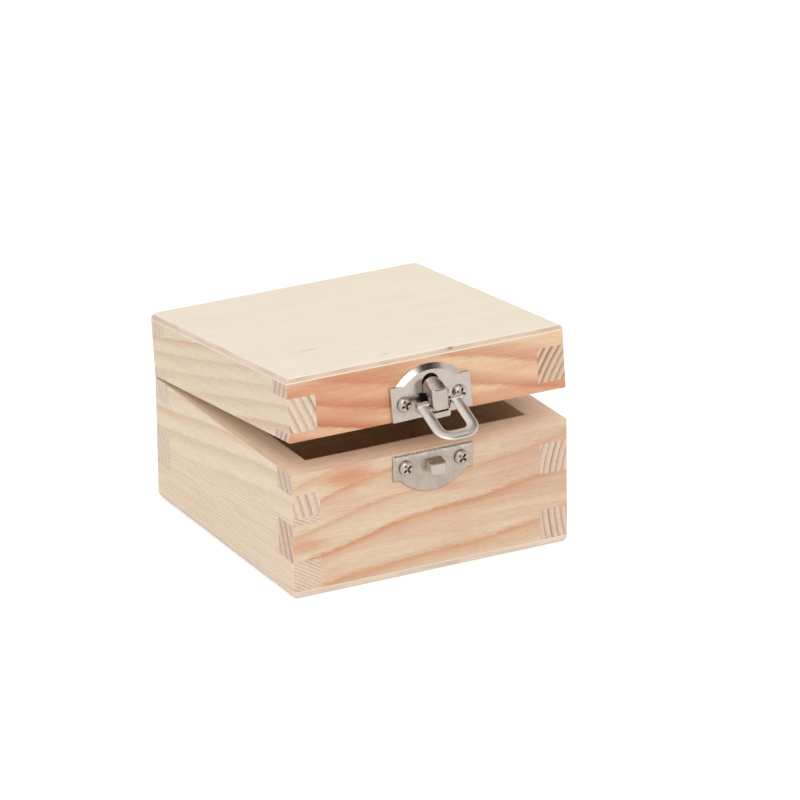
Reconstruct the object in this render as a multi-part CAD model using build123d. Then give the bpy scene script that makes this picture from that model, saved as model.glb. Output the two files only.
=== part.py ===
from build123d import *
import math
import os

# A small hinged pine box: four finger-jointed walls with a plywood bottom, a lid sawn from the same
# carcass with a plywood top, two butt hinges on the back and a pressed toggle latch on the front.
# Millimetres, +Z up, +Y to the back. The origin is the middle of the underside.
# Every lid piece is drawn with the lid shut and then turned about the hinges to its resting angle.

# Carcass
WIDTH = 100.0               # outside, left to right
DEPTH = 100.0               # outside, front to back
BASE_HEIGHT = 42.5          # with the bottom panel
LID_HEIGHT = 21.4           # with the top panel
WALL = 10.0                 # board thickness
PANEL = 2.2                 # plywood thickness, top and bottom
SEAM = 0.3                  # gap between lid and base when shut
LID_OPEN = 6.0              # degrees that the lid rests open
EDGE_ROUND = 0.6            # sanded edges of the front and back
SIDE_ROUND = 2.1            # sanded edges along the panels' left and right sides

# Finger joints, as heights of the side boards' fingers
BASE_LOW_FINGER_TOP = 12.5
BASE_HIGH_FINGER_BOTTOM = 25.1
BASE_HIGH_FINGER_TOP = 35.5
LID_FINGER_BOTTOM = 3.0     # above the lid's underside
LID_FINGER_TOP = 14.5

# Fits
RUNNING_CLEARANCE = 0.05    # radial, between a pin and what turns on it
HELD_CLEARANCE = 0.01       # radial, between a pin and what holds it
PILOT_CLEARANCE = 0.05      # radial, round a screw's shank in wood
HOLE_CLEARANCE = 0.2        # radial, round a screw's shank in a plate
PILOT_END = 0.4             # hole left beyond a screw's tip
SAME = 0.001                # how near two places count as the same place

# Hinges
HINGE_INSET = 22.0          # from the box's side to a hinge's middle
LEAF_LENGTH = 20.0
LEAF_REACH = 9.6            # from the hinge axis to the leaf's far edge
LEAF_T = 0.8
KNUCKLE_LENGTH = 6.8        # middle knuckle, on the lid's leaf
KNUCKLE_GAP = 0.3           # between knuckles, and round the barrel
PIN_R = 0.8
BARREL_R = PIN_R + LEAF_T   # the leaf is rolled round its pin
BARREL_STAND = 0.1          # barrel clear of the boards
LEAF_SCREW_END = 4.0        # from the leaf's ends
LEAF_SCREW_EDGE = 3.8       # from the leaf's far edge
LEAF_SCREW_HEAD_R = 1.8
LEAF_SCREW_R = 0.9
LEAF_SCREW_COVER = 3.8      # wood left behind the screw's tip
LEAF_CROSS_LENGTH = 2.5
LEAF_CROSS_WIDTH = 0.45
LEAF_CROSS_DEPTH = 0.4

# Latch plates, the upper one on the lid and the lower one, the strike, on the base
LATCH_X = 0.4               # from the box's middle
LATCH_TILT = 1.7            # degrees that the upper plate was screwed on out of level
PLATE_HALF = 14.4
PLATE_SHOULDER = 2.5        # flat top of each corner
ARCH_HEIGHT = 5.4
SHOULDER_ROUND = 1.6
PLATE_EDGE = 0.5            # from the seam edge of the board to the plate's straight edge
PLATE_SIDE = 11.4
PLATE_T = 1.5
PLATE_BEVEL = 1.8           # width of the bevel along the arch, seen from the front
PLATE_RIM = 0.3             # left upright below that bevel
PLATE_SCREW_END = 4.4       # from the plate's ends
PLATE_SCREW_Z = 5.9         # above the lid's underside
STRIKE_SIDE = 8.6
STRIKE_T = 0.9
STRIKE_RIM = 0.55
STRIKE_SCREW_Z = 4.9        # below the base's top

# Latch screws, pan headed
PAN_HEAD_R = 2.45
PAN_HEAD_HEIGHT = 1.4
PAN_HEAD_RIM = 0.3          # straight side below the rounded top
PAN_SCREW_R = 1.2
PAN_SCREW_COVER = 2.5       # wood left behind the screw's tip
CROSS_LENGTH = 3.2
CROSS_WIDTH = 0.75
CROSS_DEPTH = 0.7
SCREW_TIP_R = 0.25

# Toggle: a lever on a pin between two ears, carrying the bail on a second pin.
# Places are given as (out, z): out from the lid's front face, z above its underside.
LEVER_PIVOT = (6.7, 4.2)
BAIL_PIVOT = (6.1, 5.8)
LATCH_PIN_R = 0.5
LEVER_HALF = 3.0
LEVER_T = 0.7
LEVER_COVER = 1.3           # front face ahead of the lever's pin
LEVER_FOOT = 1.0            # bottom below the lever's pin
LEVER_HEEL = 1.5            # cheeks behind the lever's pin
LEVER_CREST_Z = 10.1        # where the front face turns into the slope
LEVER_NOSE = (2.6, 13.4)
LEVER_NOSE_ROUND = 2.9      # upper corners, seen from the front
LEVER_TONGUE_ROUND = 2.2    # lower corners of the front face
LEVER_CHEEK = (4.7, 7.7)    # where the cheeks' back edge turns down to the pins
LEVER_CHEEK_END_Z = 8.4     # where that edge meets the plate
LEVER_ROUND = 1.0
LEVER_TOE_ROUND = 0.9
LEVER_GAP = 0.2             # from the plate, and from each ear
EAR_T = 0.6
EAR_EYE_WALL = 0.45
WEB_FRONT = 6.4
WEB_T = 0.8
WEB_ROUND = 0.7
LIP_GAP = 0.25              # between the web's lip and the sweep of the lever's foot
WINDOW_BOTTOM = 3.4
WINDOW_STEP = 8.2           # where the window narrows
WINDOW_EAR_GAP = 0.5
WINDOW_SIDE_GAP = 0.1
WINDOW_NOSE_GAP = 1.0
BAIL_EAR_GAP = 0.35
BAIL_ARM = 3.9              # width of its crowned strap
BAIL_T = 1.3                # the strap's thickness along its middle
BAIL_REACH = 17.2           # from its pivot to the far edge
BAIL_INNER_ROUND = 2.2
BAIL_EYE_WALL = 0.55
BAIL_REST = 60.0            # degrees that the bail rests out from hanging straight

# Strike's hook, set to the bail when it hangs hooked
LATCHED_LEAN = 15.0         # degrees that the hooked bail leans in
HOOK_CLEARANCE = 0.5
HOOK_SIDE_GAP = 1.4         # to each arm of the bail
HOOK_HEIGHT = 3.3           # from the bail's seat up to the hook's root
HOOK_SLOPE = 1.1
HOOK_LIP_T = 0.9
HOOK_LIP_DROP = 2.0
HOOK_CORNER = 1.4           # lower corners of the lip
HOOK_ROUND = 0.7

# Turn of each latch screw's cross, degrees
CROSS_TURNS = {"latch": (20, 65), "strike": (35, 50)}

FRONT = -DEPTH / 2
BACK = DEPTH / 2
LID_BASE = BASE_HEIGHT + SEAM
LID_TOP = LID_BASE + LID_HEIGHT
HINGE_X = WIDTH / 2 - HINGE_INSET
HINGE_Y = BACK + BARREL_R + BARREL_STAND
HINGE_Z = BASE_HEIGHT + SEAM / 2
LID_AXIS = Axis((0, HINGE_Y, HINGE_Z), (-1, 0, 0))
LEAF_SCREW_LENGTH = LEAF_T + WALL - LEAF_SCREW_COVER
PAN_SCREW_LENGTH = PLATE_T + WALL - PAN_SCREW_COVER
PLATE_SCREW_X = PLATE_HALF - PLATE_SCREW_END
EAR_INNER = LEVER_HALF + LEVER_GAP
EAR_OUTER = EAR_INNER + EAR_T
EAR_EYE_R = LATCH_PIN_R + EAR_EYE_WALL
BAIL_INNER_HALF = EAR_OUTER + BAIL_EAR_GAP
BAIL_HALF = BAIL_INNER_HALF + BAIL_ARM
BAIL_INNER_REACH = BAIL_REACH - BAIL_ARM
BAIL_EYE_R = LATCH_PIN_R + RUNNING_CLEARANCE + BAIL_EYE_WALL
HOOK_HALF = BAIL_INNER_HALF - HOOK_SIDE_GAP


def block(x0, x1, y0, y1, z0, z1):
    """A box between two corners."""
    middle = Pos((x0 + x1) / 2, (y0 + y1) / 2, (z0 + z1) / 2)
    return middle * Box(x1 - x0, y1 - y0, z1 - z0)


def rod(radius, x0, x1, y, z):
    """A round bar along X."""
    return Pos((x0 + x1) / 2, y, z) * Rot(0, 90, 0) * Cylinder(radius, x1 - x0)


def side_profile(points, x0, x1):
    """A prism along X from a side outline given as (out, z) points, out being towards the front."""
    outline = make_face(Polyline([(-out, z) for out, z in points], close=True))
    return Pos(x0, 0, 0) * extrude(Plane.YZ * outline, x1 - x0)


def front_profile(outline, depth):
    """A prism out of the front from an outline drawn in x and z."""
    return extrude(Plane.XZ * outline, depth)


# Carcass

def rounded_shell(z0, z1, seam):
    """The outside of the base or the lid, sanded round everywhere but along the seam."""
    shell = block(-WIDTH / 2, WIDTH / 2, FRONT, BACK, z0, z1)
    sides = shell.edges().filter_by(Axis.Y).filter_by(lambda e: abs(e.center().Z - seam) > SAME)
    shell = fillet(sides, SIDE_ROUND)
    rims = shell.faces().filter_by(Axis.Y).edges()
    return fillet(rims.filter_by(lambda e: abs(e.center().Z - seam) > SAME), EDGE_ROUND)


def spans_between(spans, low, high):
    """The spans of height that the given spans leave free."""
    free = []
    start = low
    for bottom, top in spans:
        if bottom > start:
            free.append((start, min(bottom, high)))
        start = max(start, top)
    if start < high:
        free.append((start, high))
    return free


def long_board(y0, z0, z1, side_fingers):
    """A front or back board: it gives way to the side boards' fingers at both ends."""
    board = block(-WIDTH / 2, WIDTH / 2, y0, y0 + WALL, z0, z1)
    for low, high in side_fingers:
        for x0 in (-WIDTH / 2, WIDTH / 2 - WALL):
            board -= block(x0, x0 + WALL, y0, y0 + WALL, low, min(high, z1))
    return board


def side_board(x0, z0, z1, side_fingers):
    """A left or right board: it keeps its own fingers and gives way between them."""
    board = block(x0, x0 + WALL, FRONT, BACK, z0, z1)
    for low, high in spans_between(side_fingers, z0, z1):
        for y0 in (FRONT, BACK - WALL):
            board -= block(x0, x0 + WALL, y0, y0 + WALL, low, high)
    return board


def carcass(prefix, z0, z1, side_fingers, shell):
    """The four boards between z0 and z1."""
    return {
        prefix + "_front_board": long_board(FRONT, z0, z1, side_fingers) & shell,
        prefix + "_back_board": long_board(BACK - WALL, z0, z1, side_fingers) & shell,
        prefix + "_left_board": side_board(-WIDTH / 2, z0, z1, side_fingers) & shell,
        prefix + "_right_board": side_board(WIDTH / 2 - WALL, z0, z1, side_fingers) & shell,
    }


def panel(z0, shell):
    """The plywood that closes the bottom or the top."""
    return block(-WIDTH / 2, WIDTH / 2, FRONT, BACK, z0, z0 + PANEL) & shell


base_fingers = [(PANEL, BASE_LOW_FINGER_TOP), (BASE_HIGH_FINGER_BOTTOM, BASE_HIGH_FINGER_TOP)]
base_shell = rounded_shell(0, BASE_HEIGHT, BASE_HEIGHT)
base = carcass("base", PANEL, BASE_HEIGHT, base_fingers, base_shell)
base["base_bottom_panel"] = panel(0, base_shell)

lid_fingers = [(LID_BASE + LID_FINGER_BOTTOM, LID_BASE + LID_FINGER_TOP)]
lid_shell = rounded_shell(LID_BASE, LID_TOP, LID_BASE)
lid = carcass("lid", LID_BASE, LID_TOP - PANEL, lid_fingers, lid_shell)
lid["lid_top_panel"] = panel(LID_TOP - PANEL, lid_shell)


# Screws, drawn with the axis up and the top of the work at z = 0

def shank(radius, top, length):
    """A plain shank from a height down to a screw's tip."""
    straight = length + top - radius
    body = Pos(0, 0, top - straight / 2) * Cylinder(radius, straight)
    return body + Pos(0, 0, top - straight - radius / 2) * Cone(SCREW_TIP_R, radius, radius)


def cross(length, width, top, depth):
    """A cross recess from a height down."""
    return Pos(0, 0, top - depth / 2) * (Box(length, width, depth) + Box(width, length, depth))


def pan_screw(turn):
    """A pan-head screw with its cross turned."""
    head = Pos(0, 0, PAN_HEAD_HEIGHT / 2) * Cylinder(PAN_HEAD_R, PAN_HEAD_HEIGHT)
    head = fillet(head.edges().group_by(Axis.Z)[-1], PAN_HEAD_HEIGHT - PAN_HEAD_RIM)
    recess = cross(CROSS_LENGTH, CROSS_WIDTH, PAN_HEAD_HEIGHT, CROSS_DEPTH)
    return Rot(0, 0, turn) * (head + shank(PAN_SCREW_R, 0, PAN_SCREW_LENGTH) - recess)


def countersink():
    """The cone of a leaf screw's head, flush with the leaf."""
    return Pos(0, 0, -LEAF_T / 2) * Cone(LEAF_SCREW_R, LEAF_SCREW_HEAD_R, LEAF_T)


def flat_screw():
    """A countersunk screw."""
    recess = cross(LEAF_CROSS_LENGTH, LEAF_CROSS_WIDTH, 0, LEAF_CROSS_DEPTH)
    return countersink() + shank(LEAF_SCREW_R, -LEAF_T, LEAF_SCREW_LENGTH) - recess


def drilling(radius, length):
    """The hole for a shank, from z = 0 down."""
    return Pos(0, 0, -length / 2) * Cylinder(radius, length)


pan_pilot = drilling(PAN_SCREW_R + PILOT_CLEARANCE, PAN_SCREW_LENGTH + PILOT_END)
flat_pilot = drilling(LEAF_SCREW_R + PILOT_CLEARANCE, LEAF_SCREW_LENGTH + PILOT_END)


# Hinges

def leaf_screw_places(x, up):
    """Where a leaf's two screws stand, pointing out of the back."""
    spread = LEAF_LENGTH / 2 - LEAF_SCREW_END
    height = HINGE_Z + up * (LEAF_REACH - LEAF_SCREW_EDGE)
    return [Pos(x + dx, BACK + LEAF_T, height) * Rot(-90, 0, 0) for dx in (-spread, spread)]


def hinge_leaf(x, up, knuckles, bore_r):
    """A leaf flat on the back of a board, with its knuckles rolled round the pin."""
    far = HINGE_Z + up * LEAF_REACH
    near, end = sorted((HINGE_Z + up * (BARREL_R + KNUCKLE_GAP), far))
    leaf = block(x - LEAF_LENGTH / 2, x + LEAF_LENGTH / 2, BACK, BACK + LEAF_T, near, end)
    for x0, x1 in knuckles:
        low, high = sorted((HINGE_Z, far))
        leaf += block(x0, x1, BACK, BACK + LEAF_T, low, high)
        leaf += rod(BARREL_R, x0, x1, HINGE_Y, HINGE_Z)
        leaf -= rod(bore_r, x0, x1, HINGE_Y, HINGE_Z)
    for place in leaf_screw_places(x, up):
        leaf -= place * countersink()
    return leaf


for side, x in (("left", -HINGE_X), ("right", HINGE_X)):
    inner = KNUCKLE_LENGTH / 2
    outer = inner + KNUCKLE_GAP
    end = LEAF_LENGTH / 2
    outer_knuckles = [(x - end, x - outer), (x + outer, x + end)]
    name = side + "_hinge_"
    base[name + "base_leaf"] = hinge_leaf(x, -1, outer_knuckles, PIN_R + HELD_CLEARANCE)
    lid[name + "lid_leaf"] = hinge_leaf(x, 1, [(x - inner, x + inner)], PIN_R + RUNNING_CLEARANCE)
    base[name + "pin"] = rod(PIN_R, x - end, x + end, HINGE_Y, HINGE_Z)
    for body, label, up in ((base, "base", -1), (lid, "lid", 1)):
        places = leaf_screw_places(x, up)
        body[name + label + "_screws"] = Compound([(place * flat_screw()).solid() for place in places])
        for place in places:
            body[label + "_back_board"] -= place * flat_pilot


# Latch plates

def arched_outline(straight, side, up):
    """A plate's outline: a straight edge, two corners with flat shoulders, and an arch between them."""
    shoulder = straight + up * side
    neck = PLATE_HALF - PLATE_SHOULDER
    crown = shoulder + up * ARCH_HEIGHT
    edge = Polyline(
        (neck, shoulder), (PLATE_HALF, shoulder), (PLATE_HALF, straight),
        (-PLATE_HALF, straight), (-PLATE_HALF, shoulder), (-neck, shoulder),
    )
    arch = ThreePointArc((-neck, shoulder), (0, crown), (neck, shoulder))
    outline = make_face(edge + arch)
    necks = [v for v in outline.vertices() if abs(abs(v.X) - neck) < SAME]
    return fillet(necks, SHOULDER_ROUND)


def pan_screw_places(height, thickness):
    """Where a plate's two screws stand, pointing out of the front, left one first."""
    return [Pos(x, -thickness, height) * Rot(90, 0, 0) for x in (-PLATE_SCREW_X, PLATE_SCREW_X)]


def plate_hole(thickness):
    """The hole for a screw in a plate, reaching through it from its face."""
    return drilling(PAN_SCREW_R + HOLE_CLEARANCE, thickness)


def latch_window():
    """The opening behind the lever: round at the top, and wider below, where the ears stand."""
    half = LEVER_HALF + WINDOW_SIDE_GAP
    wide = EAR_OUTER + WINDOW_EAR_GAP
    spring = LEVER_NOSE[1] + WINDOW_NOSE_GAP - half
    window = block(-half, half, -PLATE_T, 0, WINDOW_BOTTOM, spring)
    window += block(-wide, wide, -PLATE_T, 0, WINDOW_BOTTOM, WINDOW_STEP)
    return window + Pos(0, -PLATE_T / 2, spring) * Rot(90, 0, 0) * Cylinder(half, PLATE_T)


def latch_channel():
    """The web below the lever, with a lip along its front and an ear each side for the lever's pin."""
    out, z = LEVER_PIVOT
    web_top = PLATE_EDGE + WEB_T
    lip_top = z - math.hypot(LEVER_COVER, LEVER_FOOT) - LIP_GAP
    channel = block(-EAR_OUTER, EAR_OUTER, -WEB_FRONT, 0, PLATE_EDGE, web_top)
    channel += block(-EAR_OUTER, EAR_OUTER, -WEB_FRONT, WEB_T - WEB_FRONT, PLATE_EDGE, lip_top)
    ear = [
        (0, PLATE_EDGE), (WEB_FRONT, PLATE_EDGE), (WEB_FRONT, z), (out, z + EAR_EYE_R), (0, WINDOW_BOTTOM),
    ]
    for x0, x1 in ((-EAR_OUTER, -EAR_INNER), (EAR_INNER, EAR_OUTER)):
        channel += side_profile(ear, x0, x1)
        channel += rod(EAR_EYE_R, x0, x1, -out, z)
        channel -= rod(LATCH_PIN_R + HELD_CLEARANCE, x0, x1, -out, z)
    keel = channel.edges().filter_by(Axis.Y).group_by(Axis.Z)[0]
    return fillet(keel, WEB_ROUND)


def arch_bevel(shoulder):
    """What the bevel takes off the upper plate: a ring with a sloping inside, above the shoulders."""
    neck = PLATE_HALF - PLATE_SHOULDER
    radius = (neck ** 2 + ARCH_HEIGHT ** 2) / (2 * ARCH_HEIGHT)
    outer = radius + SHOULDER_ROUND
    slope = [(radius - PLATE_BEVEL, -PLATE_T), (radius, -PLATE_RIM), (outer, -PLATE_RIM), (outer, -PLATE_T)]
    ring = revolve(make_face(Polyline(slope, close=True)), Axis.Y)
    above = block(-PLATE_HALF, PLATE_HALF, -PLATE_T, 0, shoulder, shoulder + ARCH_HEIGHT)
    return Pos(0, 0, shoulder + ARCH_HEIGHT - radius) * ring & above


def latch_plate():
    """The upper plate: bevelled along its arch, with a window and the channel that carries the lever."""
    plate = front_profile(arched_outline(PLATE_EDGE, PLATE_SIDE, 1), PLATE_T)
    plate -= arch_bevel(PLATE_EDGE + PLATE_SIDE)
    plate -= latch_window()
    for place in pan_screw_places(PLATE_SCREW_Z, PLATE_T):
        plate -= place * plate_hole(PLATE_T)
    return plate + latch_channel()


def lever_front(half, top, corner, depth):
    """A lever-wide prism with rounded upper corners."""
    outline = make_face(Polyline((-half, 0), (half, 0), (half, top), (-half, top), close=True))
    return front_profile(fillet(outline.vertices().group_by(Axis.Y)[-1], corner), depth)


def latch_lever():
    """The lever: a hood pressed from sheet, open at the back and below, with two cheeks."""
    nose_out, nose_z = LEVER_NOSE
    pivot_out, pivot_z = LEVER_PIVOT
    front = pivot_out + LEVER_COVER
    bottom = pivot_z - LEVER_FOOT
    back = PLATE_T + LEVER_GAP
    hood = side_profile([
        (back, nose_z), LEVER_NOSE, (front, LEVER_CREST_Z), (front, bottom),
        (pivot_out - LEVER_HEEL, bottom), LEVER_CHEEK, (back, LEVER_CHEEK_END_Z),
    ], -LEVER_HALF, LEVER_HALF)
    hood &= lever_front(LEVER_HALF, nose_z, LEVER_NOSE_ROUND, front)
    toe = hood.faces().sort_by(Axis.Y)[0].edges().sort_by(Axis.Z)[0]
    hood = fillet(toe, LEVER_TOE_ROUND)
    face = hood.faces().sort_by(Axis.Y)[0]
    rim = face.edges().filter_by(lambda e: e.center().Z > bottom + LEVER_TOE_ROUND + SAME)
    slope = hood.faces().filter_by(lambda f: -f.normal_at().Y > SAME and f.normal_at().Z > SAME)
    brow = slope.edges().filter_by(lambda e: e.center().Z > LEVER_CREST_Z + SAME)
    hood = fillet(rim + brow, LEVER_ROUND)

    hollow = side_profile([
        (0, nose_z - LEVER_T), (nose_out, nose_z - LEVER_T), (front - LEVER_T, LEVER_CREST_Z - LEVER_T),
        (front - LEVER_T, 0), (0, 0),
    ], -LEVER_HALF, LEVER_HALF)
    hollow &= lever_front(LEVER_HALF - LEVER_T, nose_z - LEVER_T, LEVER_NOSE_ROUND - LEVER_T, front)
    hood -= hollow

    tongue_z = bottom + LEVER_TONGUE_ROUND
    for sign in (-1, 1):
        tongue_x = sign * (LEVER_HALF - LEVER_TONGUE_ROUND)
        x0, x1 = sorted((sign * LEVER_HALF, tongue_x))
        corner = block(x0, x1, -front, LEVER_T - front, bottom, tongue_z)
        tongue = Pos(tongue_x, LEVER_T / 2 - front, tongue_z) * Rot(90, 0, 0)
        hood -= corner - tongue * Cylinder(LEVER_TONGUE_ROUND, LEVER_T)
    for (out, z), clearance in ((LEVER_PIVOT, RUNNING_CLEARANCE), (BAIL_PIVOT, HELD_CLEARANCE)):
        hood -= rod(LATCH_PIN_R + clearance, -LEVER_HALF, LEVER_HALF, -out, z)
    return hood


def latch_bail():
    """The bail: a crowned strap bent to a loop, its ends rolled to eyes, swung out to where it rests."""
    side = BAIL_INNER_HALF + BAIL_ARM / 2
    foot = BAIL_ARM / 2 - BAIL_REACH
    corners = [(-side, 0, 0), (-side, 0, foot), (side, 0, foot), (side, 0, 0)]
    loop = FilletPolyline(*corners, radius=BAIL_INNER_ROUND + BAIL_ARM / 2)
    start = Plane(origin=(-side, 0, 0), x_dir=(1, 0, 0), z_dir=(0, 0, -1))
    bail = sweep(start * Ellipse(BAIL_ARM / 2, BAIL_T / 2), loop)
    for x0, x1 in ((-BAIL_HALF, -BAIL_INNER_HALF), (BAIL_INNER_HALF, BAIL_HALF)):
        bail += rod(BAIL_EYE_R, x0, x1, 0, 0)
        bail -= rod(LATCH_PIN_R + RUNNING_CLEARANCE, x0, x1, 0, 0)
    out, z = BAIL_PIVOT
    return Pos(0, -out, z) * Rot(-BAIL_REST, 0, 0) * bail


def strike_hook():
    """The hook that the bail catches on, drawn below z = 0, the base's top."""
    lean = math.radians(LATCHED_LEAN)
    pivot_out, pivot_z = BAIL_PIVOT
    seat = SEAM + pivot_z - BAIL_INNER_REACH * math.cos(lean) + HOOK_CLEARANCE
    root = seat + HOOK_HEIGHT
    lip_back = pivot_out - BAIL_INNER_REACH * math.sin(lean) + BAIL_T / 2 + HOOK_CLEARANCE
    lip_front = lip_back + HOOK_LIP_T
    lip_bottom = seat - HOOK_LIP_DROP
    hook = side_profile([
        (0, root), (lip_front, root - HOOK_SLOPE), (lip_front, lip_bottom),
        (lip_back, lip_bottom), (lip_back, seat), (0, seat),
    ], -HOOK_HALF, HOOK_HALF)
    hook = fillet(hook.edges().filter_by(Axis.Y).group_by(Axis.Z)[0], HOOK_CORNER)
    return fillet(hook.faces().sort_by(Axis.Y)[0].edges(), HOOK_ROUND)


def strike_plate():
    """The lower plate with its hook, drawn below z = 0, the base's top."""
    plate = front_profile(arched_outline(-PLATE_EDGE, STRIKE_SIDE, -1), STRIKE_T)
    plate = chamfer(plate.edges().group_by(Axis.Y)[0], STRIKE_T - STRIKE_RIM)
    for place in pan_screw_places(-STRIKE_SCREW_Z, STRIKE_T):
        plate -= place * plate_hole(STRIKE_T)
    return plate + strike_hook()


def cross_pin(half, pivot):
    """A latch pin, centred on the latch."""
    out, z = pivot
    return rod(LATCH_PIN_R, -half, half, -out, z)


tilt_centre = PLATE_EDGE + PLATE_SIDE / 2
tilt = Pos(0, 0, tilt_centre) * Rot(0, -LATCH_TILT, 0) * Pos(0, 0, -tilt_centre)
latch_frame = Pos(LATCH_X, FRONT, LID_BASE) * tilt
strike_frame = Pos(LATCH_X, FRONT, BASE_HEIGHT)

lid["latch_plate"] = latch_frame * latch_plate()
lid["latch_lever_pin"] = latch_frame * cross_pin(EAR_OUTER, LEVER_PIVOT)
lid["latch_lever"] = latch_frame * latch_lever()
lid["latch_bail_pin"] = latch_frame * cross_pin(BAIL_HALF, BAIL_PIVOT)
lid["latch_bail"] = latch_frame * latch_bail()
base["strike_plate"] = strike_frame * strike_plate()

for body, label, frame, height, thickness, board in (
    (lid, "latch", latch_frame, PLATE_SCREW_Z, PLATE_T, "lid_front_board"),
    (base, "strike", strike_frame, -STRIKE_SCREW_Z, STRIKE_T, "base_front_board"),
):
    places = pan_screw_places(height, thickness)
    for side, place, turn in zip(("left", "right"), places, CROSS_TURNS[label]):
        body[label + "_screw_" + side] = frame * place * pan_screw(turn)
        body[board] -= frame * place * pan_pilot

os.makedirs("parts", exist_ok=True)
for node, shape in base.items():
    export_step(shape, "parts/" + node + ".step")
for node, shape in lid.items():
    export_step(shape.rotate(LID_AXIS, LID_OPEN), "parts/" + node + ".step")
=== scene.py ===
"""A small hinged pine box with a toggle latch, on a white table. Metres, in the part's frame."""
import math
from collections import namedtuple

import bpy
from mathutils import Matrix, Vector

MM = 0.001
WHITE = (1.0, 1.0, 1.0, 1.0)

# The box
LID_OPEN = math.radians(6.0)                      # how far the lid rests open
HINGE = Vector((0.0, 0.0517, 0.04265))            # the lid turns about X here
LATCH_X = 0.4 * MM                                # middle of the latch
LEVER_Z = 51.3 * MM                               # middle of the lever, with the lid shut
INNER = 40.1 * MM                                 # just outside the boards' inner faces

# Camera
CAMERA_TURN = math.radians(-27.45)                # round from straight ahead, to the left
CAMERA_RISE = math.radians(21.44)
CAMERA_ROLL = math.radians(-0.76)
CAMERA_DISTANCE = 2.0384
CAMERA_AIM = Vector((0.01509, 0.0, 0.03881))
CAMERA_LENS = 279.6                               # in millimetres, as is the sensor
CAMERA_SENSOR = 36.0
CAMERA_FAR = 20.0

# Light
DAYLIGHT = 1.13                                   # even light from all round
DARK_CORNERS = [                                  # dark places in the room, seen only in metal
    Vector((0.42, -0.45, 0.78)),
    Vector((0.62, 0.28, 0.74)),
]
DARK_NEAR = math.cos(math.radians(9.0))           # fully dark within this angle of them
DARK_FAR = math.cos(math.radians(22.0))           # and not at all dark beyond this one
DARK_LEVEL = 0.05
WINDOW_PLACE = Vector((-0.75, -2.05, 2.08))
WINDOW_SIZE = 1.72
WINDOW_POWER = 15.8
TABLE_COLOUR = (0.88, 0.88, 0.88, 1.0)
TABLE_ROUGHNESS = 0.9
TABLE_GLOW = 0.32                                 # what the table adds to the camera's view of it
TABLE_SIZE = 6.0


def srgb(red, green, blue):
    """A colour given as it looks on screen, 0 to 255, as linear values with alpha."""
    def linear(value):
        share = value / 255.0
        return share / 12.92 if share <= 0.04045 else ((share + 0.055) / 1.055) ** 2.4
    return (linear(red), linear(green), linear(blue), 1.0)


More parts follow.
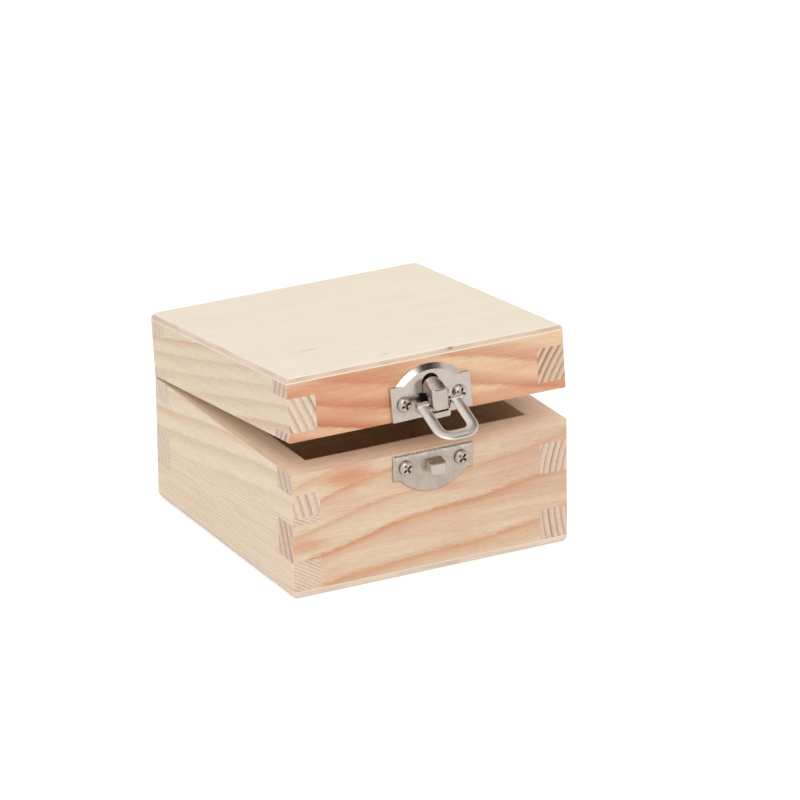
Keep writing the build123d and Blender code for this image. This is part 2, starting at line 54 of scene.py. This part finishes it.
class Graph:
    """The shader nodes of a material or the world, built one line at a time."""

    def __init__(self, owner, output):
        self.owner = owner
        owner.use_nodes = True
        self.tree = owner.node_tree
        self.tree.nodes.clear()
        self.output = self.node(output)

    def node(self, kind, inputs=None, **settings):
        """A node with its settings and inputs, each a plain value or another node's output."""
        made = self.tree.nodes.new(kind)
        for key, value in settings.items():
            setattr(made, key, value)
        for key, value in (inputs or {}).items():
            self.plug(value, made.inputs[key])
        return made

    def plug(self, value, socket):
        """Sets or links one socket."""
        if isinstance(value, bpy.types.NodeSocket):
            self.tree.links.new(value, socket)
        else:
            socket.default_value = value

    def math(self, operation, first, second=0.0, third=0.0):
        """One arithmetic step."""
        inputs = {0: first, 1: second, 2: third}
        return self.node("ShaderNodeMath", inputs, operation=operation).outputs[0]

    def vector(self, x, y, z):
        """A vector from three values."""
        return self.node("ShaderNodeCombineXYZ", {"X": x, "Y": y, "Z": z}).outputs[0]

    def noise(self, kind, along, through, up):
        """Soft noise of one kind, about 0 to 1."""
        where = self.vector(self.math("MULTIPLY", along, kind.along), through, up)
        inputs = {"Vector": where, "Scale": kind.scale, "Detail": kind.detail,
                  "Roughness": kind.roughness}
        return self.node("ShaderNodeTexNoise", inputs).outputs["Fac"]

    def span(self, value, low, high, to_low=0.0, to_high=1.0):
        """A value moved smoothly from one range to another, and held there."""
        inputs = {"Value": value, "From Min": low, "From Max": high,
                  "To Min": to_low, "To Max": to_high}
        return self.node("ShaderNodeMapRange", inputs, interpolation_type="SMOOTHSTEP").outputs[0]

    def blend(self, share, first, second):
        """Two values mixed."""
        return self.node("ShaderNodeMix", {0: share, 2: first, 3: second}).outputs[0]

    def mix(self, share, first, second, blend="MIX"):
        """Two colours mixed. Sockets for colours come after those for values and vectors."""
        made = self.node("ShaderNodeMix", data_type="RGBA", blend_type=blend)
        self.plug(share, made.inputs[0])
        self.plug(first, made.inputs[6])
        self.plug(second, made.inputs[7])
        return made.outputs[2]

    def ramp(self, value, stops):
        """A value looked up along grey stops given as (place, level)."""
        made = self.node("ShaderNodeValToRGB", {"Fac": value})
        elements = made.color_ramp.elements
        while len(elements) < len(stops):
            elements.new(0.5)
        for element, (place, level) in zip(elements, stops):
            element.position = place
            element.color = (level, level, level, 1.0)
        return made.outputs["Color"]

    def place(self, on_lid):
        """Where the surface is, in the frame of the shut box, split into x, y and z."""
        where = self.node("ShaderNodeTexCoord").outputs["Object"]
        if on_lid:
            shift = HINGE - Matrix.Rotation(LID_OPEN, 3, "X") @ HINGE
            inputs = {"Vector": where, "Location": shift, "Rotation": (LID_OPEN, 0.0, 0.0)}
            where = self.node("ShaderNodeMapping", inputs, vector_type="POINT").outputs[0]
        return self.node("ShaderNodeSeparateXYZ", {"Vector": where}).outputs

    def facing(self):
        """Which way the surface faces, split into x, y and z."""
        normal = self.node("ShaderNodeTexCoord").outputs["Normal"]
        return self.node("ShaderNodeSeparateXYZ", {"Vector": normal}).outputs

    def near(self, across, up, middle, reach):
        """How near a point is to a mark's middle: 0 there, 1 at the edge of its ellipse."""
        sideways = self.math("DIVIDE", self.math("SUBTRACT", across, middle[0] * MM), reach[0] * MM)
        upright = self.math("DIVIDE", self.math("SUBTRACT", up, middle[1] * MM), reach[1] * MM)
        square = self.math("MULTIPLY", upright, upright)
        return self.math("SQRT", self.math("MULTIPLY_ADD", sideways, sideways, square))

    def shade(self, colour, level):
        """A colour made lighter or darker by a level."""
        return self.mix(1.0, colour, self.vector(level, level, level), "MULTIPLY")


class Surface(Graph):
    """A material's nodes round one surface shader."""

    def __init__(self, name):
        super().__init__(bpy.data.materials.new(name), "ShaderNodeOutputMaterial")
        self.shader = self.node("ShaderNodeBsdfPrincipled")
        self.plug(self.shader.outputs["BSDF"], self.output.inputs["Surface"])

    def set(self, socket, value):
        """Sets what is the same all over the surface."""
        self.shader.inputs[socket].default_value = value

    def finish(self, colour, roughness, height, depth):
        """Joins colour, roughness and bump to the shader."""
        bump = self.node("ShaderNodeBump", {"Height": height, "Distance": depth, "Strength": 1.0})
        self.plug(colour, self.shader.inputs["Base Color"])
        self.plug(roughness, self.shader.inputs["Roughness"])
        self.plug(bump.outputs["Normal"], self.shader.inputs["Normal"])
        return self.owner


# Kinds of noise: how fast it changes along the grain against across it, and its scale, detail and
# roughness
Noise = namedtuple("Noise", "along scale detail roughness")
SWAY = Noise(0.35, 28.0, 1.5, 0.5)                # slow bends of the growth rings
FLECK = Noise(0.14, 2100.0, 2.0, 0.6)             # short dark flecks
FIBRE = Noise(0.03, 1700.0, 3.0, 0.65)
STREAK = Noise(0.03, 420.0, 2.0, 0.5)             # long soft streaks
PATCH = Noise(0.25, 120.0, 2.0, 0.5)              # patches of resin
PLY_FIGURE = Noise(0.06, 260.0, 3.0, 0.5)
PLY_FIBRE = Noise(0.06, 2600.0, 2.0, 0.6)
PLY_CLOUD = Noise(1.0, 45.0, 2.0, 0.5)
PLY_SPECK = Noise(0.2, 380.0, 3.0, 0.5)           # in the core, long both ways
SMUDGE = Noise(1.0, 220.0, 3.0, 0.5)
MOTTLE = Noise(1.0, 1100.0, 3.0, 0.6)
GRIT = Noise(1.0, 1500.0, 3.0, 0.5)
SCRATCH = Noise(0.2, 4200.0, 2.0, 0.5)

# Dark late wood within a year, as (place, level), in wide bands and in thin ones
LATE_SHARE = [(0.0, 0.25), (0.06, 0.0), (0.4, 0.05), (0.72, 0.7), (0.9, 1.0), (1.0, 0.25)]
THIN_LATE_SHARE = [(0.0, 0.3), (0.1, 0.0), (0.5, 0.05), (0.78, 0.4), (0.93, 1.0), (1.0, 0.3)]
YEAR_SHARE = (0.5, 1.0)                           # how dark the late wood is, from year to year

# Strips of wood, in mm in the frame of the shut box: where the pith passes the middle of the box
# (through the board, height), how it climbs along the grain, the ring spacing, how far rings sway
# and the bands of late wood.
Strip = namedtuple("Strip", "pith drift spacing sway late")
FRONT_BASE_STRIP = Strip((94, -23), 0.21, 3.5, 6.5, THIN_LATE_SHARE)
FRONT_LID_STRIP = Strip((58.7, 92), -0.22, 2.8, 3.0, LATE_SHARE)
BACK_STRIP = Strip((-70, 80), -0.12, 2.8, 5.0, LATE_SHARE)
LEFT_UPPER_STRIP = Strip((-190, -18), -0.15, 2.6, 2.0, LATE_SHARE)
LEFT_LOWER_STRIP = Strip((-115, -114), -0.09, 1.1, 0.8, LATE_SHARE)
RIGHT_STRIP = Strip((99, 19), 0.05, 2.2, 1.0, THIN_LATE_SHARE)
RIGHT_LID_STRIP = RIGHT_STRIP._replace(late=LATE_SHARE)
GLUE_HEIGHT = 24.0 * MM                           # joint between the left board's strips
GLUE_CLIMB = -0.075
RAGGED = 0.18                                     # how far fibres break up a ring's edge, in rings

# Colours of early and late wood, along the grain and where it is cut across
Wood = namedtuple("Wood", "early late cut_early cut_late")
FAINT = Wood(srgb(235, 214, 190), srgb(220, 185, 152), srgb(229, 203, 180), srgb(146, 98, 74))
PALE = Wood(srgb(236, 217, 193), srgb(219, 187, 154), srgb(233, 210, 188), srgb(178, 142, 118))
# The base's left board: pale pine made a little lighter along the grain as painted light,
# offsetting the shade on the base's left side; its paler end-grain lines are the wood's own.
PALE_LIGHTENED = Wood(srgb(240, 221, 197), srgb(223, 192, 159), srgb(233, 210, 188), srgb(193, 160, 138))
BROWN = Wood(srgb(235, 214, 190), srgb(220, 185, 152), srgb(226, 195, 166), srgb(128, 76, 50))
WARM = Wood(srgb(231, 206, 177), srgb(209, 144, 101), srgb(226, 199, 179), srgb(168, 128, 110))
ROSY = Wood(srgb(237, 201, 166), srgb(186, 102, 68), srgb(226, 199, 179), srgb(168, 128, 110))
PLAIN = Wood(srgb(234, 209, 182), srgb(216, 164, 126), srgb(231, 211, 191), srgb(214, 187, 167))
BLUSH = srgb(216, 146, 108)                       # warm patches of resin
EMBER = srgb(208, 132, 98)
SALMON = srgb(206, 158, 134)
SAWN_RIM_AND_BOUNCE = srgb(255, 226, 200)                        # the base's rim, where the lid was sawn off: the sawn wood's colour, made lighter as painted light from the lid's underside
INNER_BOUNCE_LIGHT = srgb(248, 205, 150)                      # painted warm bounce light on the boards' inner faces
SCUFF = srgb(238, 224, 212)
STAIN = srgb(205, 192, 168)
# Painted shade: a near-black brown laid on the wood behind the lever, where it lies in shadow
SHADE_BEHIND_LEVER = srgb(26, 18, 13)                          # wood in the dark behind the lever
KNOT = srgb(118, 84, 66)

# Boards: the axis that their grain follows, their strips and colours, how much resin they show and
# how strongly their rings stand out
Board = namedtuple("Board", "grain strips wood blush strength")
BOARDS = {
    "base_front_board": Board("X", [FRONT_BASE_STRIP], WARM, 0.22, 0.85),
    "base_back_board": Board("X", [BACK_STRIP], PLAIN, 0.2, 0.6),
    "base_left_board": Board("Y", [LEFT_UPPER_STRIP, LEFT_LOWER_STRIP], PALE_LIGHTENED, 0.0, 0.8),
    "base_right_board": Board("Y", [RIGHT_STRIP], FAINT, 0.1, 0.9),
    "lid_front_board": Board("X", [FRONT_LID_STRIP], ROSY, 0.3, 1.0),
    "lid_back_board": Board("X", [BACK_STRIP], PLAIN, 0.2, 0.6),
    "lid_left_board": Board("Y", [LEFT_UPPER_STRIP], PALE, 0.0, 0.9),
    "lid_right_board": Board("Y", [RIGHT_LID_STRIP], BROWN, 0.15, 1.0),
}

# Marks, in mm on the face that they lie on: middle, half size, colour, how strong and how soft
Mark = namedtuple("Mark", "middle reach colour share soft")
MARKS = {
    "base_front_board": [
        Mark((38.0, 30.0), (40.0, 26.0), SALMON, 0.42, 0.7),
        Mark((-30.0, 38.3), (16.0, 7.0), BLUSH, 0.75, 0.7),
        Mark((-46.0, 18.0), (14.0, 5.0), BLUSH, 0.55, 0.8),
        Mark((8.0, 27.6), (13.0, 3.8), BLUSH, 0.45, 0.8),
        Mark((-24.8, 32.5), (4.0, 2.0), SCUFF, 0.3, 1.0),
        Mark((23.7, 38.0), (3.6, 1.6), SCUFF, 0.4, 1.0),
    ],
    "lid_front_board": [
        Mark((-32.0, 53.0), (56.0, 34.0), BLUSH, 0.42, 0.7),
        Mark((-30.0, 59.0), (44.0, 6.0), EMBER, 0.4, 0.7),
        Mark((-28.0, 50.0), (40.0, 6.5), EMBER, 0.4, 0.7),
        Mark((36.0, 44.5), (48.0, 6.0), EMBER, 0.5, 0.7),
        # painted shade on the wood behind the lever, seen through the latch plate's window
        Mark((LATCH_X / MM, LEVER_Z / MM), (9.0, 8.7), SHADE_BEHIND_LEVER, 1.0, 0.1),
    ],
    "lid_top_panel": [
        Mark((-29.0, -24.5), (6.0, 1.8), STAIN, 0.6, 0.7),
        Mark((-11.7, -44.6), (2.5, 1.2), STAIN, 0.6, 0.7),
    ],
    "lid_top_panel_edge": [
        Mark((8.8, 63.5), (2.8, 1.0), KNOT, 0.75, 0.8),
    ],
}
MARK_RAGGED = 1.15                                # how far noise breaks up the edge of a soft mark
MARK_FADE_OUT = 0.36                              # how far a soft mark fades beyond its edge
MARK_FADE_IN = 0.64                               # and within it

# Pine. A facing is how far a face turns one way, from where a change begins to where it is whole.
END_FACING = (0.6, 0.85)                          # towards the end of the grain
FRONT_FACING = (-0.3, -0.6)
SAWN_FACING = (0.80, 0.97)
# how much of the sawn colour, with its painted bounce light, is laid on upward faces
SAWN_AND_BOUNCE_SHARE = 0.7
INNER_BOUNCE_SHARE = 0.5
PATCH_RANGE = (0.42, 0.68)
FIBRE_RANGE = (0.2, 0.8)
FLECK_RANGE = (0.25, 0.75)
FIBRE_SHADE = (0.92, 1.06)
STREAK_SHADE = (0.96, 1.03)
FLECK_SHADE = (0.93, 1.06)
PINE_ROUGHNESS = (0.55, 0.75)
PINE_RELIEF = 0.04 * MM
LATE_RELIEF = 0.5                                 # of late wood, against that of the fibres
WOOD_GLOSS = 0.3

# Plywood panels: the height of their middle with the lid shut, and the colours of face and core
Panel = namedtuple("Panel", "middle face core")
PANELS = {
    "base_bottom_panel": Panel(
        1.1 * MM,
        (srgb(240, 224, 205), srgb(236, 218, 198)),
        (srgb(236, 217, 198), srgb(220, 198, 180)),
    ),
    "lid_top_panel": Panel(
        63.1 * MM,
        (srgb(243, 231, 211), srgb(241, 228, 206)),
        (srgb(231, 209, 187), srgb(213, 187, 166)),
    ),
}
PANEL_T = 2.2 * MM
VENEER = 0.45 * MM                                # a panel's outer plies
VENEER_BLUR = 0.15 * MM                           # how softly they turn into the core
CLOUD = srgb(238, 222, 198)
CLOUD_SHARE = 0.3
CLOUD_RANGE = (0.35, 0.75)
FIGURE_RANGE = (0.3, 0.7)
SPECK_RANGE = (0.35, 0.7)
TOP_FACING = (0.5, 0.8)
EDGE_FACING = (-0.5, -0.8)
PLY_SHADE = (0.98, 1.01)
PLY_ROUGHNESS = (0.5, 0.65)
PLY_RELIEF = 0.02 * MM

# Plated metals: how dull they are worn, where the darkening of crevices, painted shade with some
# tarnish, begins and is whole as a crevice closes, how dark their sideways faces are painted as
# shade and dark reflection, how fast crowned faces turn away, per metre, the height above which
# they are scuffed and the y beyond which another piece keeps them bright
CREVICE = (0.75, 0.3)
TIGHT_CREVICE = (0.93, 0.5)
METAL_FIELDS = "colour roughness wear tarnish cheeks crown scuffed_above rubbed_beyond"
Metal = namedtuple("Metal", METAL_FIELDS, defaults=(CREVICE, None, None, None, None))
METALS = {
    "bright_nickel": Metal((0.72, 0.63, 0.56, 1.0), 0.10, 0.2),
    "worn_nickel": Metal((0.66, 0.56, 0.47, 1.0), 0.24, 0.4, scuffed_above=40.2 * MM,
                         rubbed_beyond=-51.6 * MM),
    "hinge_nickel": Metal((0.66, 0.58, 0.51, 1.0), 0.20, 0.3),
    "screw_steel": Metal((0.68, 0.60, 0.54, 1.0), 0.20, 0.3, TIGHT_CREVICE),
    "satin_nickel": Metal((0.91, 0.83, 0.76, 1.0), 0.24, 0.15),
    "lever_nickel": Metal((0.72, 0.63, 0.56, 1.0), 0.12, 0.2, cheeks=0.55, crown=22.0),
}
# Near-black for painted shade in crevices and on the lever's sides, mixed with the dark of tarnish
TARNISH_AND_SHADE = (0.09, 0.075, 0.062, 1.0)
DULL = (0.42, 0.39, 0.36, 1.0)
SCUFFED = (0.80, 0.77, 0.74, 1.0)
RUBBED = (0.70, 0.62, 0.55, 1.0)
RUBBED_ROUGHNESS = 0.1
CREVICE_REACH = 0.9 * MM                          # how far the painted crevice shade and tarnish reach out of corners
CREVICE_SAMPLES = 8
SCUFF_FADE = 1.2 * MM                             # how softly a scuffed band begins
RUB_FADE = 0.8 * MM
CHEEK_FACING = (0.6, 0.9)
SMUDGE_RANGE = (0.3, 0.7)
MOTTLE_RANGE = (0.45, 0.75)
GRIT_RANGE = (0.42, 0.60)
SMUDGE_ROUGHNESS = 0.12                           # what smudges add
SCRATCH_ROUGHNESS = 0.06                          # what scratches add
SCRATCH_DEPTH = 0.004 * MM


def growth_rings(graph, strip, along, through, height, slow, ragged):
    """How far each point is into a year's dark late wood, 0 to 1."""
    climb = graph.math("MULTIPLY", along, strip.drift)
    up = graph.math("SUBTRACT", graph.math("SUBTRACT", height, strip.pith[1] * MM), climb)
    inward = graph.math("SUBTRACT", through, strip.pith[0] * MM)
    square = graph.math("ADD", graph.math("MULTIPLY", up, up),
                        graph.math("MULTIPLY", inward, inward))
    sway = graph.math("MULTIPLY", slow, strip.sway * MM)
    radius = graph.math("ADD", graph.math("SQRT", square), sway)
    rings = graph.math("MULTIPLY_ADD", radius, 1.0 / (strip.spacing * MM), ragged)
    late = graph.ramp(graph.math("FRACT", rings), strip.late)
    inputs = {"W": graph.math("FLOOR", rings)}
    luck = graph.node("ShaderNodeTexWhiteNoise", inputs, noise_dimensions="1D").outputs["Value"]
    return graph.math("MULTIPLY", late, graph.span(luck, 0.0, 1.0, *YEAR_SHARE))


def late_wood(graph, strips, along, through, height, ragged):
    """The late wood of one strip, or of two that are glued one above the other."""
    slow = graph.noise(SWAY, along, through, height)
    shares = [growth_rings(graph, strip, along, through, height, slow, ragged) for strip in strips]
    if len(shares) == 1:
        return shares[0]
    upper, lower = shares
    glue = graph.math("MULTIPLY_ADD", along, GLUE_CLIMB, GLUE_HEIGHT)
    return graph.blend(graph.math("LESS_THAN", height, glue), upper, lower)


def marked(graph, node, colour, across, up, ragged, shown):
    """A colour with the node's marks where they are shown, their edges made ragged by noise."""
    for mark in MARKS.get(node, []):
        near = graph.near(across, up, mark.middle, mark.reach)
        edge = graph.math("MULTIPLY_ADD", ragged, MARK_RAGGED * mark.soft, near)
        outer = 1.0 + MARK_FADE_OUT * mark.soft
        inner = 1.0 - MARK_FADE_IN * mark.soft
        share = graph.span(edge, outer, inner, 0.0, mark.share)
        colour = graph.mix(graph.math("MULTIPLY", share, shown), colour, mark.colour)
    return colour


def pine(node, board):
    """Pine as a solid: growth rings about a pith line, fibres along the grain and warm patches."""
    graph = Surface("pine_" + node)
    x, y, z = graph.place(node.startswith("lid"))
    along, through = (x, y) if board.grain == "X" else (y, x)
    facing = graph.facing()
    end = graph.span(graph.math("ABSOLUTE", facing[board.grain]), *END_FACING)
    fleck = graph.noise(FLECK, along, through, z)
    ragged = graph.math("MULTIPLY", fleck, graph.span(end, 0.0, 1.0, RAGGED, 0.0))
    late = late_wood(graph, board.strips, along, through, z, ragged)
    fibre = graph.noise(FIBRE, along, through, z)
    streak = graph.noise(STREAK, along, through, z)

    darkened = graph.math("MULTIPLY", late, board.strength)
    side = graph.mix(darkened, board.wood.early, board.wood.late)
    patch = graph.span(graph.noise(PATCH, along, through, z), *PATCH_RANGE)
    side = graph.mix(graph.math("MULTIPLY", patch, board.blush), side, BLUSH)
    side = marked(graph, node, side, along, z, streak, graph.span(facing["Y"], *FRONT_FACING))
    reach = graph.math("MAXIMUM", graph.math("ABSOLUTE", x), graph.math("ABSOLUTE", y))
    inside = graph.math("LESS_THAN", reach, INNER)
    # Painted light: the inner faces are warmed as if by light bounced between the boards
    side = graph.mix(graph.math("MULTIPLY", inside, INNER_BOUNCE_SHARE), side, INNER_BOUNCE_LIGHT)
    # Painted light: upward faces, the base's rim, are made lighter and warmer over the sawn wood's
    # colour, as if lit from the lid's underside
    side = graph.mix(graph.span(facing["Z"], *SAWN_FACING, 0.0, SAWN_AND_BOUNCE_SHARE), side, SAWN_RIM_AND_BOUNCE)

    cut = graph.mix(late, board.wood.cut_early, board.wood.cut_late)
    level = graph.math("MULTIPLY", graph.span(fibre, *FIBRE_RANGE, *FIBRE_SHADE),
                       graph.span(streak, *FIBRE_RANGE, *STREAK_SHADE))
    level = graph.math("MULTIPLY", level, graph.span(fleck, *FLECK_RANGE, *FLECK_SHADE))
    colour = graph.shade(graph.mix(end, side, cut), level)
    rough = graph.span(fibre, *FIBRE_RANGE, *PINE_ROUGHNESS)
    height = graph.math("ADD", fibre, graph.math("MULTIPLY", late, LATE_RELIEF))
    graph.set("Specular IOR Level", WOOD_GLOSS)
    return graph.finish(colour, rough, height, PINE_RELIEF)


def plywood(node, panel):
    """Thin ply: a plain pale face, and along the edges its brownish core between thin veneers."""
    graph = Surface("plywood_" + node)
    x, y, z = graph.place(node.startswith("lid"))
    facing = graph.facing()
    figure = graph.noise(PLY_FIGURE, x, y, z)
    fibre = graph.noise(PLY_FIBRE, x, y, z)
    cloud = graph.noise(PLY_CLOUD, x, y, z)
    colour = graph.mix(graph.span(figure, *FIGURE_RANGE), *panel.face)
    colour = graph.mix(graph.span(cloud, *CLOUD_RANGE, 0.0, CLOUD_SHARE), colour, CLOUD)
    colour = marked(graph, node, colour, x, y, figure, graph.span(facing["Z"], *TOP_FACING))

    depth = graph.math("ABSOLUTE", graph.math("SUBTRACT", z, panel.middle))
    inner = PANEL_T / 2 - VENEER
    core = graph.span(depth, inner + VENEER_BLUR, inner - VENEER_BLUR)
    speck = graph.noise(PLY_SPECK, x, graph.math("MULTIPLY", y, PLY_SPECK.along), z)
    colour = graph.mix(core, colour, graph.mix(graph.span(speck, *SPECK_RANGE), *panel.core))
    edge = graph.span(facing["Y"], *EDGE_FACING)
    colour = marked(graph, node + "_edge", colour, x, z, speck, edge)

    colour = graph.shade(colour, graph.span(fibre, *FIBRE_RANGE, *PLY_SHADE))
    rough = graph.span(fibre, *FIBRE_RANGE, *PLY_ROUGHNESS)
    graph.set("Specular IOR Level", WOOD_GLOSS)
    return graph.finish(colour, rough, fibre, PLY_RELIEF)


def nickel(name, metal):
    """Plated metal: soft unevenness, smudges, fine scratches, darkened crevices that are painted
    shade with some tarnish, and painted dark sides on the lever.
    """
    graph = Surface(name)
    x, y, z = graph.place(on_lid=False)
    smudge = graph.noise(SMUDGE, x, y, z)
    mottle = graph.noise(MOTTLE, x, y, z)
    scratch = graph.noise(SCRATCH, x, y, z)
    tone = graph.mix(graph.span(smudge, *SMUDGE_RANGE, 0.0, metal.wear), metal.colour, DULL)
    tone = graph.mix(graph.span(mottle, *MOTTLE_RANGE, 0.0, metal.wear), tone, DULL)
    # Painted shade: ambient occlusion darkens crevices and contact edges as shade would, along with
    # some tarnish
    crevices = graph.node("ShaderNodeAmbientOcclusion", {"Distance": CREVICE_REACH},
                          samples=CREVICE_SAMPLES)
    tone = graph.mix(graph.span(crevices.outputs["AO"], *metal.tarnish), tone, TARNISH_AND_SHADE)
    # Painted shade and dark reflection: faces turned sideways, the lever's sides, are darkened
    # towards near-black
    if metal.cheeks:
        sideways = graph.math("ABSOLUTE", graph.facing()["X"])
        tone = graph.mix(graph.span(sideways, *CHEEK_FACING, 0.0, metal.cheeks), tone, TARNISH_AND_SHADE)
    if metal.scuffed_above:
        band = graph.span(z, metal.scuffed_above, metal.scuffed_above + SCUFF_FADE)
        grit = graph.span(graph.noise(GRIT, x, y, z), *GRIT_RANGE)
        tone = graph.mix(graph.math("MULTIPLY", band, grit), tone, SCUFFED)

    smudged = metal.roughness + SMUDGE_ROUGHNESS
    rough = graph.span(smudge, *SMUDGE_RANGE, metal.roughness, smudged)
    rough = graph.math("ADD", rough, graph.math("MULTIPLY", scratch, SCRATCH_ROUGHNESS))
    if metal.rubbed_beyond:
        proud = graph.span(y, metal.rubbed_beyond, metal.rubbed_beyond - RUB_FADE)
        tone = graph.mix(proud, tone, RUBBED)
        rough = graph.blend(proud, rough, RUBBED_ROUGHNESS)
    height = scratch
    if metal.crown:
        across = graph.math("SUBTRACT", x, LATCH_X)
        square = graph.math("MULTIPLY", across, across)
        height = graph.math("MULTIPLY_ADD", square, -metal.crown / SCRATCH_DEPTH, scratch)
    graph.set("Metallic", 1.0)
    return graph.finish(tone, rough, height, SCRATCH_DEPTH)


def metal_of(node):
    """The name of the metal that a piece of the latch or the hinges is made of."""
    if "screw" in node:
        return "screw_steel"
    if "hinge" in node:
        return "hinge_nickel"
    if node.startswith("strike"):
        return "worn_nickel"
    if node == "latch_bail":
        return "satin_nickel"
    if node == "latch_lever":
        return "lever_nickel"
    return "bright_nickel"


def dress(node, material):
    """Gives a node one material."""
    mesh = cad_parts[node].data
    mesh.materials.clear()
    mesh.materials.append(material)


def set_daylight():
    """Even light all round. The camera sees a white room, and metal one with dark corners."""
    world = bpy.data.worlds.new("white_room")
    bpy.context.scene.world = world
    graph = Graph(world, "ShaderNodeOutputWorld")
    path = graph.node("ShaderNodeLightPath").outputs
    glossy = path["Is Glossy Ray"]
    clear = graph.math("MAXIMUM", path["Is Camera Ray"], path["Is Transmission Ray"])
    seen = graph.math("MAXIMUM", clear, glossy)
    level = graph.span(seen, 0.0, 1.0, DAYLIGHT, 1.0)
    towards = graph.node("ShaderNodeTexCoord").outputs["Generated"]
    for corner in DARK_CORNERS:
        inputs = {0: towards, 1: corner.normalized()}
        facing = graph.node("ShaderNodeVectorMath", inputs, operation="DOT_PRODUCT")
        dark = graph.span(facing.outputs["Value"], DARK_FAR, DARK_NEAR, 0.0, 1.0 - DARK_LEVEL)
        lit = graph.math("SUBTRACT", 1.0, graph.math("MULTIPLY", glossy, dark))
        level = graph.math("MULTIPLY", level, lit)
    room = graph.node("ShaderNodeBackground", {"Strength": level})
    graph.plug(room.outputs[0], graph.output.inputs["Surface"])


def set_table():
    """A white table top. It glows a little to the camera, so that only the shadow is off white."""
    bpy.ops.mesh.primitive_plane_add(size=TABLE_SIZE)
    table = bpy.context.object
    table.name = "table"
    graph = Surface("table_white")
    seen = graph.node("ShaderNodeLightPath").outputs["Is Camera Ray"]
    graph.set("Base Color", TABLE_COLOUR)
    graph.set("Roughness", TABLE_ROUGHNESS)
    graph.set("Specular IOR Level", 0.0)
    graph.set("Emission Color", WHITE)
    graph.plug(graph.math("MULTIPLY", seen, TABLE_GLOW), graph.shader.inputs["Emission Strength"])
    table.data.materials.append(graph.owner)


def set_window():
    """A large soft light, high in front of the box and to its left."""
    lamp = bpy.data.lights.new("window", "AREA")
    lamp.size = WINDOW_SIZE
    lamp.energy = WINDOW_POWER
    holder = bpy.data.objects.new("window", lamp)
    holder.location = WINDOW_PLACE
    holder.rotation_euler = (CAMERA_AIM - WINDOW_PLACE).to_track_quat("-Z", "Y").to_euler()
    bpy.context.scene.collection.objects.link(holder)


def set_camera():
    """The photograph's view."""
    back = Vector((math.sin(CAMERA_TURN) * math.cos(CAMERA_RISE),
                   -math.cos(CAMERA_TURN) * math.cos(CAMERA_RISE), math.sin(CAMERA_RISE)))
    right = (-back).cross(Vector((0, 0, 1))).normalized()
    up = back.cross(right)
    level = Matrix((right, up, back)).transposed()
    turn = level @ Matrix.Rotation(CAMERA_ROLL, 3, "Z")
    camera = bpy.data.cameras.new("camera")
    camera.lens = CAMERA_LENS
    camera.sensor_width = CAMERA_SENSOR
    camera.clip_end = CAMERA_FAR
    holder = bpy.data.objects.new("camera", camera)
    holder.matrix_world = Matrix.Translation(CAMERA_AIM + back * CAMERA_DISTANCE) @ turn.to_4x4()
    bpy.context.scene.collection.objects.link(holder)
    bpy.context.scene.camera = holder


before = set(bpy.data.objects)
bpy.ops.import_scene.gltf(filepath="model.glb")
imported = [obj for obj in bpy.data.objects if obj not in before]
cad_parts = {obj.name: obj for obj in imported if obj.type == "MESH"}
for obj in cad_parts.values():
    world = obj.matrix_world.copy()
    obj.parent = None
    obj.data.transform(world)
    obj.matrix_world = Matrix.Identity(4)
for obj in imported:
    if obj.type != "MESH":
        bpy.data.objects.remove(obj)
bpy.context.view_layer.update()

for name, board in BOARDS.items():
    dress(name, pine(name, board))
for name, panel in PANELS.items():
    dress(name, plywood(name, panel))
metals = {name: nickel(name, metal) for name, metal in METALS.items()}
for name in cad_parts:
    if name not in BOARDS and name not in PANELS:
        dress(name, metals[metal_of(name)])

set_daylight()
set_table()
set_window()
set_camera()
view = bpy.context.scene.view_settings
view.view_transform = "Standard"
